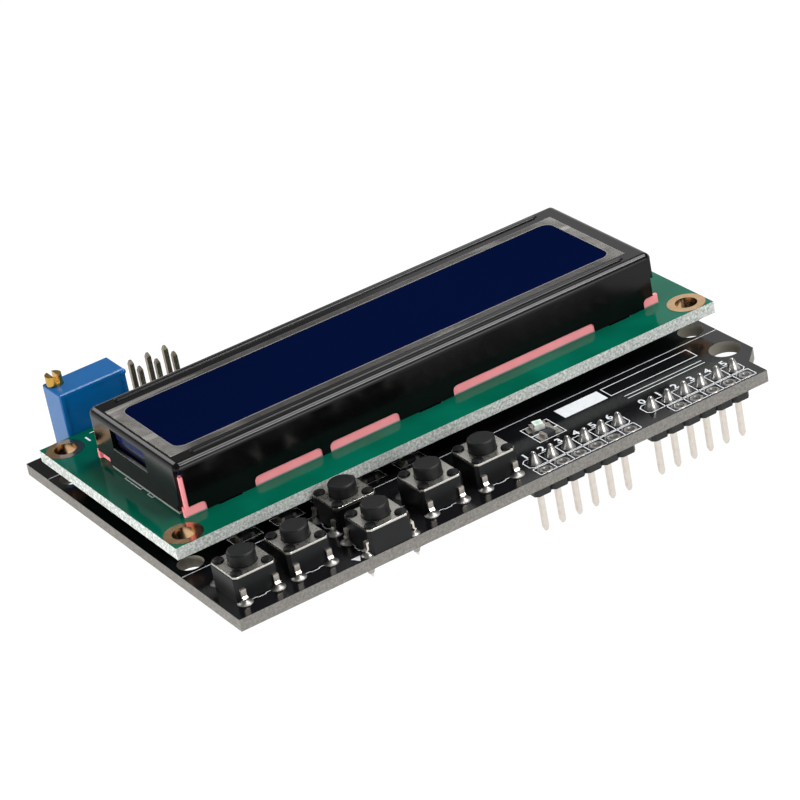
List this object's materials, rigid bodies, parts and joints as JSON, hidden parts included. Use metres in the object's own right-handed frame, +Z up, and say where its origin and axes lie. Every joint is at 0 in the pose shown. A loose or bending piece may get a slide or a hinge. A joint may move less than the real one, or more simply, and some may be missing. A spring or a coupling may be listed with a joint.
{
  "type": "lcd keypad shield",
  "caption": "Plug-in board with pin rows below, carrying a long character display in a black bezel, a line of push keys and a multi-turn trimmer.",
  "frame": {"origin": "under the middle of the plug-in board, at the level of the header pin ends that the part stands on", "axes": "+X along the display to the right, +Y from the keys to the back edge, +Z up out of the display"},
  "size_m": [0.08, 0.0554, 0.021],
  "materials": {
    "black_board": "glossy black solder mask on glass-fibre board",
    "green_board": "glossy green solder mask on glass-fibre board",
    "bezel_paint": "semi-gloss black painted sheet steel",
    "display_glass": "blue tinted display glass",
    "polariser": "glossy dark blue polariser film",
    "clear_film": "thin clear protective film",
    "pink_rubber": "pink silicone contact strip",
    "light_guide": "milky light guide",
    "black_resin": "black moulding resin",
    "black_nylon": "black moulded nylon",
    "tinned_pins": "tinned brass",
    "solder": "shiny solder",
    "blue_plastic": "blue moulded plastic",
    "trimmer_brass": "turned brass",
    "key_plastic": "satin black moulded plastic",
    "key_steel": "satin stamped steel",
    "lamp_body": "white lamp chip with a greenish window"
  },
  "bodies": {
    "shield": {"shield_board": "black_board", "lcd_board": "green_board", "lcd_bezel": "bezel_paint", "lcd_front_glass": "display_glass", "lcd_rear_glass": "display_glass", "front_polariser": "polariser", "protective_film": "clear_film", "rubber_contact_strips": "pink_rubber", "backlight_guide": "light_guide", "backlight_lamp": "light_guide", "driver_blobs": "black_resin", "lcd_header_strip": "black_nylon", "lcd_header_pins": "tinned_pins", "power_header_strip": "black_nylon", "power_header_pins": "tinned_pins", "analog_header_strip": "black_nylon", "analog_header_pins": "tinned_pins", "low_digital_header_strip": "black_nylon", "low_digital_header_pins": "tinned_pins", "high_digital_header_strip": "black_nylon", "high_digital_header_pins": "tinned_pins", "six_pin_strip": "black_nylon", "six_pin_pins": "tinned_pins", "header_solder": "solder", "trimmer_body": "blue_plastic", "trimmer_leads": "tinned_pins", "key_domes": "key_steel", "chip_resistors": "black_resin", "power_lamp": "lamp_body", "backlight_transistor": "black_resin", "select_key_housing": "key_plastic", "select_key_cover": "key_steel", "select_key_legs": "tinned_pins", "left_key_housing": "key_plastic", "left_key_cover": "key_steel", "left_key_legs": "tinned_pins", "up_key_housing": "key_plastic", "up_key_cover": "key_steel", "up_key_legs": "tinned_pins", "down_key_housing": "key_plastic", "down_key_cover": "key_steel", "down_key_legs": "tinned_pins", "right_key_housing": "key_plastic", "right_key_cover": "key_steel", "right_key_legs": "tinned_pins", "reset_key_housing": "key_plastic", "reset_key_cover": "key_steel", "reset_key_legs": "tinned_pins"},
    "select_button": {"select_key_plunger": "key_plastic"},
    "left_button": {"left_key_plunger": "key_plastic"},
    "up_button": {"up_key_plunger": "key_plastic"},
    "down_button": {"down_key_plunger": "key_plastic"},
    "right_button": {"right_key_plunger": "key_plastic"},
    "reset_button": {"reset_key_plunger": "key_plastic"},
    "trimmer_adjuster": {"trimmer_screw": "trimmer_brass"}
  },
  "joints": [
    {"name": "select_key_press", "type": "slide", "parent": "shield", "child": "select_button", "axis": [0, 0, -1], "range_m": [0, 0.00025], "stiffness_N_per_m": 800, "springref_m": -0.001},
    {"name": "left_key_press", "type": "slide", "parent": "shield", "child": "left_button", "axis": [0, 0, -1], "range_m": [0, 0.00025], "stiffness_N_per_m": 800, "springref_m": -0.001},
    {"name": "up_key_press", "type": "slide", "parent": "shield", "child": "up_button", "axis": [0, 0, -1], "range_m": [0, 0.00025], "stiffness_N_per_m": 800, "springref_m": -0.001},
    {"name": "down_key_press", "type": "slide", "parent": "shield", "child": "down_button", "axis": [0, 0, -1], "range_m": [0, 0.00025], "stiffness_N_per_m": 800, "springref_m": -0.001},
    {"name": "right_key_press", "type": "slide", "parent": "shield", "child": "right_button", "axis": [0, 0, -1], "range_m": [0, 0.00025], "stiffness_N_per_m": 800, "springref_m": -0.001},
    {"name": "reset_key_press", "type": "slide", "parent": "shield", "child": "reset_button", "axis": [0, 0, -1], "range_m": [0, 0.00025], "stiffness_N_per_m": 800, "springref_m": -0.001},
    {"name": "trimmer_turn", "type": "hinge", "parent": "shield", "child": "trimmer_adjuster", "pos_m": [-0.03433, 0.02571, 0.0196], "axis": [0, 0, 1], "continuous": true}
  ]
}
